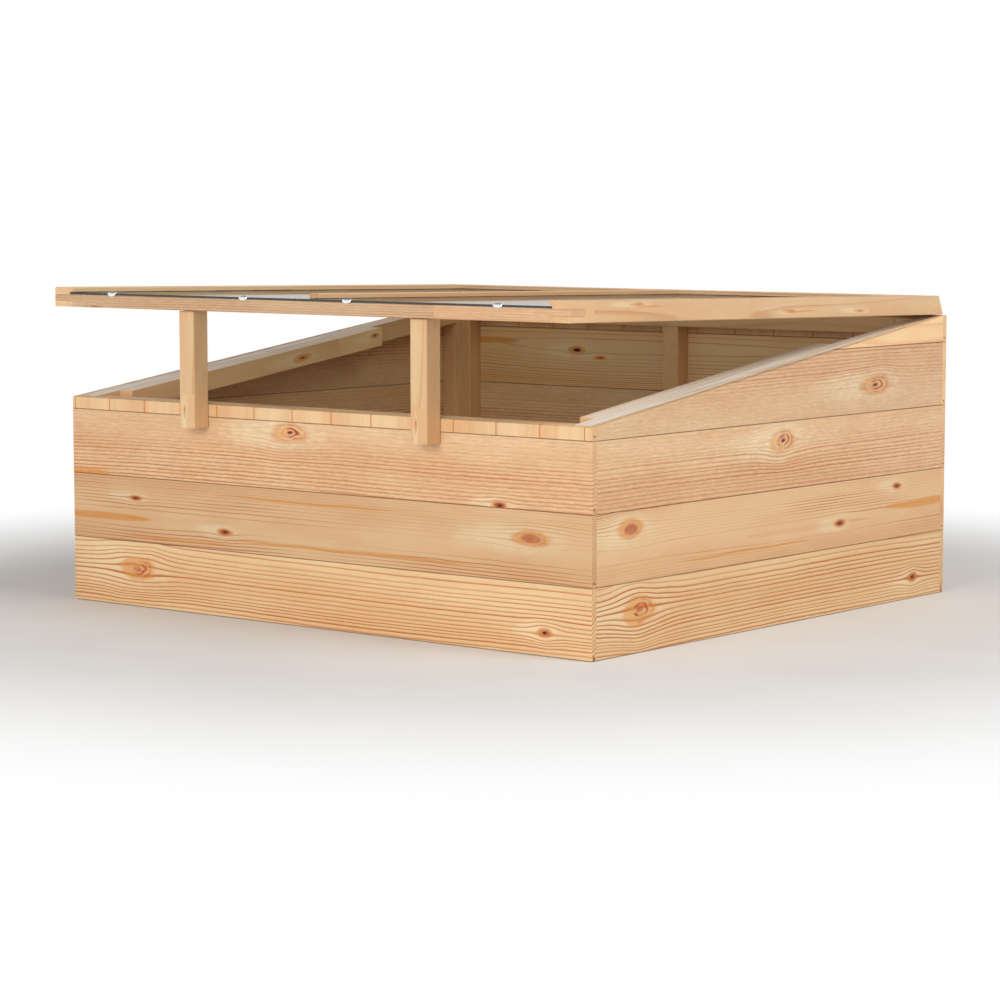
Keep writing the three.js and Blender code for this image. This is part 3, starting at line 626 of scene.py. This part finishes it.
# ---------------------------------------------------------------- metal and glass
def metal_material(name, colour, rough, scratches, dull=0.1):
    """Plated steel: a clouded, finely scratched bright metal."""
    material = bpy.data.materials.new(name)
    material.use_nodes = True
    g = Graph(material.node_tree)
    shader = material.node_tree.nodes["Principled BSDF"]
    place = g.add("ShaderNodeTexCoord").outputs["Object"]
    cloud = g.noise(place, (160, 160, 160), detail=4, roughness=0.6)
    scratch = g.noise(place, (60, 1900, 900), detail=3)
    dark = tuple(channel * (1 - 2.2 * dull) for channel in colour[:3]) + (1.0,)
    g.feed(shader.inputs["Base Color"], g.mix(g.ramp(cloud, -0.2, 0.2), colour, dark))
    worn = g.math("MULTIPLY_ADD", cloud, 0.3, rough)
    g.feed(shader.inputs["Roughness"], g.math("MULTIPLY_ADD", scratch, scratches, worn))
    bump = g.add("ShaderNodeBump", {"Strength": 0.25, "Distance": 0.05 * MM, "Height": scratch})
    g.feed(shader.inputs["Normal"], bump.outputs["Normal"])
    shader.inputs["Metallic"].default_value = 1.0
    return material


def glass_material(name):
    """A thin clear pane with a dark cut edge. For the camera it turns from see-through to a dim
    mirror at low angles. Other light passes each face half dimmed."""
    material = bpy.data.materials.new(name)
    material.use_nodes = True
    nodes = material.node_tree.nodes
    g = Graph(material.node_tree)
    mirror = nodes["Principled BSDF"]
    place = g.add("ShaderNodeTexCoord").outputs
    film = g.noise(place["Object"], (9, 5, 9), detail=4, roughness=0.6)
    dust = g.mix(g.ramp(film, -0.2, 0.3), srgb(84, 90, 82), srgb(116, 122, 114))
    g.feed(mirror.inputs["Base Color"], dust)
    g.feed(mirror.inputs["Roughness"], g.ramp(film, -0.1, 0.4, 0.02, 0.08))
    mirror.inputs["IOR"].default_value = 1.5
    clear = g.add("ShaderNodeBsdfTransparent", {"Color": (0.93, 0.96, 0.93, 1.0)})
    grazing = g.add("ShaderNodeLayerWeight", {"Blend": 0.5}).outputs["Facing"]
    share = g.math("MULTIPLY_ADD", film, 0.1, g.ramp(grazing, 0.4, 0.95, 0.09, 0.6))
    face = g.add("ShaderNodeMixShader", {
        0: share, 1: clear.outputs["BSDF"], 2: mirror.outputs["BSDF"],
    })
    ground = g.noise(place["Object"], (300, 300, 900), detail=3)
    cut = g.add("ShaderNodeBsdfPrincipled", {
        "Base Color": g.mix(g.ramp(ground, -0.3, 0.3), srgb(30, 36, 38), srgb(64, 74, 78)),
        "Roughness": g.math("MULTIPLY_ADD", ground, 0.2, 0.25),
    })
    facing = g.math("ABSOLUTE", g.separate(place["Normal"])["Z"])
    body = g.add("ShaderNodeMixShader", {
        0: g.ramp(facing, 0.7, 0.5), 1: face.outputs["Shader"], 2: cut.outputs["BSDF"],
    })
    passing = g.add("ShaderNodeBsdfTransparent", {"Color": (0.55, 0.56, 0.53, 1.0)})
    path = g.add("ShaderNodeLightPath").outputs["Is Camera Ray"]
    seen = g.add("ShaderNodeMixShader", {
        0: path, 1: passing.outputs["BSDF"], 2: body.outputs["Shader"],
    })
    g.feed(nodes["Material Output"].inputs["Surface"], seen.outputs["Shader"])
    return material


ZINC = metal_material("zinc_plate", srgb(196, 199, 204), 0.34, 0.25)
BRIGHT = metal_material("bright_clip", srgb(244, 246, 248), 0.09, 0.08, dull=0.03)


def dress_metal_and_glass():
    glass = glass_material("float_glass")
    for node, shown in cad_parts.items():
        kind = glass if node.endswith("_pane") else None
        if "hinge" in node or "bolt" in node or "wing_nut" in node:
            kind = ZINC
        elif node.endswith("_clip"):
            kind = BRIGHT
        if kind is not None:
            shown.data.materials.clear()
            shown.data.materials.append(kind)


# ---------------------------------------------------------------- fixings
def new_piece(name, bm, material, body):
    """Makes one closed piece from a bmesh, smooth but for its sharp edges."""
    bmesh.ops.recalc_face_normals(bm, faces=bm.faces)
    for face in bm.faces:
        face.smooth = True
    for edge in bm.edges:
        edge.smooth = edge.calc_face_angle(0) < radians(35)
    mesh = bpy.data.meshes.new(name)
    bm.to_mesh(mesh)
    bm.free()
    mesh.materials.append(material)
    piece = bpy.data.objects.new(name, mesh)
    bpy.context.scene.collection.objects.link(piece)
    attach(piece, body)
    return piece


def skin(bm, rings, closed_across, closed_along):
    """Joins rows of vertices into a surface."""
    rows = len(rings) if closed_along else len(rings) - 1
    for i in range(rows):
        first, second = rings[i], rings[(i + 1) % len(rings)]
        count = len(first) if closed_across else len(first) - 1
        for j in range(count):
            k = (j + 1) % len(first)
            bm.faces.new((first[j], first[k], second[k], second[j]))


def clip_surface(lift, half_wide):
    """A pressed clip's outer (lift 1) or inner (lift 0) side, from its toe on the rail, up over
    the pane's edge, to the end of its lip: rows of points (x, y, z) in millimetres."""
    bend = [(-0.4, -2.4), (-0.4, -1.2), (-0.4, 1.2), (-0.3, 3.4), (0.5, 4.7), (3.0, 4.75),
            (6.0, 4.75), (8.8, 4.75)]
    breadth = [0.34, 0.70, 0.96, 1.0, 1.0, 0.96, 0.82, 0.45]
    way = [(-1, 0), (-1, 0), (-1, 0), (-0.92, 0.38), (-0.38, 0.92), (0, 1), (0, 1), (0, 1)]
    rows = []
    for i, ((y, z), (ny, nz), broad) in enumerate(zip(bend, way, breadth)):
        crown = sin(math.pi * (i + 0.6) / (len(bend) + 0.2)) ** 0.6
        row = []
        for j in range(CLIP_COLUMNS):
            side = -cos(math.pi * j / (CLIP_COLUMNS - 1))
            dome = math.sqrt(max(0.0, 1 - side * side))
            thick = lift * (0.45 + 2.3 * crown * dome ** 0.8)
            reach = half_wide * broad * side
            row.append((reach, y + ny * thick, z + nz * thick))
        rows.append(row)
    return rows


def rim_of(rows):
    """The vertices round the outline of a surface, in order."""
    right = [row[-1] for row in rows[1:-1]]
    left = [row[0] for row in rows[-2:0:-1]]
    return rows[0] + right + rows[-1][::-1] + left


def build_clip(node):
    """A bright domed clip. It stands for the plain one, over the same edge of the pane."""
    low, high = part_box(node)
    rail_low, rail_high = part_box("lid_front_rail")
    front = rail_low.y + (rail_high.z - rail_low.z) * sin(LID_RISE)
    corner = Vector(((low.x + high.x) / 2, front, rail_high.z))
    bm = bmesh.new()
    outer, inner = [
        [[bm.verts.new(corner + (X * x + DOWN_LID * y + UP_LID * z) * MM) for x, y, z in row]
         for row in clip_surface(lift, CLIP_HALF_WIDE)]
        for lift in (1, 0)
    ]
    skin(bm, outer, False, False)
    skin(bm, inner, False, False)
    skin(bm, [rim_of(outer), rim_of(inner)], True, False)
    piece = new_piece(f"{node}_pressed", bm, BRIGHT, "lid")
    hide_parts(node)


def build_screw(name, place, body):
    """A countersunk screw head with a cross recess, seen along its own +Z."""
    profile = [(3.5, -0.1), (3.4, 0.15), (3.0, 0.32), (2.5, 0.42), (2.0, 0.50), (1.7, 0.53),
               (1.4, 0.56), (1.1, 0.58), (0.8, 0.59), (0.5, 0.60), (0.25, 0.60)]
    shank = [(1.2, -3.0), (1.3, -2.4)]
    recess_deep, arm_half_wide, arm_long = 0.7, 0.34, 1.9
    bm = bmesh.new()
    rings = []
    for radius, height in shank + profile:
        ring = []
        for i in range(SCREW_SIDES):
            angle = 2 * math.pi * i / SCREW_SIDES
            x, y = radius * cos(angle), radius * sin(angle)
            sunk = min(abs(x), abs(y)) < arm_half_wide and radius < arm_long and height > 0
            ring.append(bm.verts.new(place @ Vector((x, y, height - recess_deep * sunk))))
        rings.append(ring)
    skin(bm, rings, True, False)
    bm.faces.new(rings[0])
    bm.faces.new(rings[-1])
    new_piece(name, bm, ZINC, body)


def build_hinge_screws():
    """Three screws in each hinge leaf, with their heads on the leaf's face."""
    outward = Matrix.Rotation(-math.pi / 2, 4, "X")
    leaned = Matrix.Rotation(REAR_BEVEL - LID_RISE, 4, "X")
    for side in ("left", "right"):
        fixed_low, fixed_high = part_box(f"{side}_hinge_fixed_leaf")
        pin_low, pin_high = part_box(f"{side}_hinge_pin")
        middle = (fixed_low.x + fixed_high.x) / 2
        axis = Vector((middle, (pin_low.y + pin_high.y) / 2, (pin_low.z + pin_high.z) / 2))
        for i, across in enumerate((-24, 0, 24)):
            on_wall = Vector((across * MM + middle, fixed_low.y + LEAF_THICK, fixed_low.z + 13 * MM))
            place = Matrix.Translation(on_wall) @ outward @ Matrix.Scale(MM, 4)
            build_screw(f"{side}_hinge_wall_screw_{i + 1}", place, "box")
            on_lid = leaned @ Matrix.Translation(Vector((across, -2.56, 20)) * MM)
            place = Matrix.Translation(axis) @ on_lid @ outward @ Matrix.Scale(MM, 4)
            build_screw(f"{side}_hinge_lid_screw_{i + 1}", place, "lid")


def build_washers():
    """A washer between each wing nut and the batten."""
    section = [(3.3, 0.05), (8.7, 0.05), (9.0, 0.3), (9.0, 1.3), (8.7, 1.55), (3.3, 1.55)]
    for side in ("left", "right"):
        nut_low, nut_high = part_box(f"{side}_wing_nut")
        bolt_low, bolt_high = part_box(f"{side}_prop_bolt")
        middle = (bolt_low + bolt_high) / 2
        centre = Vector((middle.x, nut_low.y, middle.z))
        bm = bmesh.new()
        rings = []
        for i in range(WASHER_SIDES):
            angle = 2 * math.pi * i / WASHER_SIDES
            out = X * cos(angle) + Z * sin(angle)
            ring = []
            for radius, back in section:
                ring.append(bm.verts.new(centre + (out * radius - Y * (back + 0.2)) * MM))
            rings.append(ring)
        skin(bm, rings, True, True)
        new_piece(f"{side}_washer", bm, ZINC, "box")


def build_fixings():
    for side in ("left", "right"):
        for where in ("inner", "outer"):
            build_clip(f"{side}_{where}_pane_clip")
    build_hinge_screws()
    build_washers()


# ---------------------------------------------------------------- soft edges
def soften(node, width):
    """Rounds a CAD node's arrises with modifiers; its own mesh stays as it is."""
    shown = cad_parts[node]
    weld = shown.modifiers.new("weld", "WELD")
    weld.merge_threshold = 0.01 * MM
    flat = shown.modifiers.new("flat", "DECIMATE")
    flat.decimate_type = "DISSOLVE"
    flat.angle_limit = radians(0.6)
    bevel = shown.modifiers.new("bevel", "BEVEL")
    bevel.width = width
    bevel.segments = 2
    bevel.limit_method = "ANGLE"
    bevel.angle_limit = radians(35)
    bevel.use_clamp_overlap = True
    bevel.harden_normals = True


def soften_all():
    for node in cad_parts:
        if "hinge" in node or "bolt" in node or "wing_nut" in node:
            soften(node, 0.25 * MM)
        elif node.endswith("_pane"):
            soften(node, 0.3 * MM)
        else:
            soften(node, 0.5 * MM)


# ---------------------------------------------------------------- stage
def build_floor():
    """A pale floor that runs out to white, far from the object."""
    mesh = bpy.data.meshes.new("floor")
    bm = bmesh.new()
    bmesh.ops.create_grid(bm, x_segments=40, y_segments=40, size=40)
    bm.to_mesh(mesh)
    bm.free()
    floor = bpy.data.objects.new("floor", mesh)
    bpy.context.scene.collection.objects.link(floor)
    floor.location.z = cad_low.z - 0.5 * MM
    material = bpy.data.materials.new("floor")
    material.use_nodes = True
    g = Graph(material.node_tree)
    shader = material.node_tree.nodes["Principled BSDF"]
    place = g.add("ShaderNodeTexCoord").outputs["Object"]
    mottle = g.noise(place, (3, 3, 3), detail=4)
    pale = g.mix(g.ramp(mottle, -0.3, 0.3), srgb(226, 225, 223), srgb(231, 230, 228))
    g.feed(shader.inputs["Base Color"], pale)
    shader.inputs["Roughness"].default_value = 0.8
    shader.inputs["Specular IOR Level"].default_value = 0.2
    white = g.add("ShaderNodeEmission", {"Color": (1, 1, 1, 1), "Strength": 1.0})
    flat = g.vector("MULTIPLY", place, (1, 1, 0))
    away = g.add("ShaderNodeVectorMath", {0: flat}, operation="LENGTH").outputs["Value"]
    both = g.add("ShaderNodeMixShader", {
        0: g.ramp(away, 1.05, 2.2), 1: shader.outputs["BSDF"], 2: white.outputs["Emission"],
    })
    g.feed(material.node_tree.nodes["Material Output"].inputs["Surface"], both.outputs["Shader"])
    floor.data.materials.append(material)


def area_light(name, place, size, power, target=(0, 0, 0.25)):
    data = bpy.data.lights.new(name, "AREA")
    data.shape = "DISK"
    data.size = size
    data.energy = power
    lamp = bpy.data.objects.new(name, data)
    bpy.context.scene.collection.objects.link(lamp)
    lamp.location = place
    lamp.rotation_euler = (Vector(target) - Vector(place)).to_track_quat("-Z", "Y").to_euler()


def build_world():
    """White where it is seen. As a light it is bright round the horizon and dimmer overhead."""
    world = bpy.data.worlds.new("studio")
    bpy.context.scene.world = world
    world.use_nodes = True
    g = Graph(world.node_tree)
    background = world.node_tree.nodes["Background"]
    up = g.separate(g.add("ShaderNodeTexCoord").outputs["Generated"])["Z"]
    glow = g.ramp(up, sin(radians(12)), sin(radians(60)), WALL_GLOW, CEILING_GLOW)
    seen = g.add("ShaderNodeLightPath").outputs["Is Camera Ray"]
    strength = g.add("ShaderNodeMix", {0: seen, 2: glow, 3: 1.0}).outputs[0]
    background.inputs["Color"].default_value = (1, 1, 1, 1)
    g.feed(background.inputs["Strength"], strength)


def build_light():
    build_world()
    area_light("front", (0.9, -4.6, 1.9), 2.0, FRONT_WATTS)
    area_light("right", (3.2, -0.2, 4.2), 2.4, RIGHT_WATTS)
    bpy.context.scene.view_settings.view_transform = "Standard"


def build_camera():
    """The camera stands in front of the right-hand end, slightly above the lid."""
    wall_low, wall_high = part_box("front_board_1")
    data = bpy.data.cameras.new("camera")
    data.lens = LENS_MM
    data.sensor_width = SENSOR_MM
    camera = bpy.data.objects.new("camera", data)
    bpy.context.scene.collection.objects.link(camera)
    middle = (wall_low.x + wall_high.x) / 2
    camera.location = (middle + CAMERA_RIGHT, wall_low.y - CAMERA_AHEAD, CAMERA_HEIGHT)
    camera.rotation_euler = (CAMERA_TILT, 0, CAMERA_TURN)
    bpy.context.scene.camera = camera


dress_walls()
dress_battens()
dress_lid()
dress_props()
dress_metal_and_glass()
soften_all()
build_fixings()
build_floor()
build_light()
build_camera()
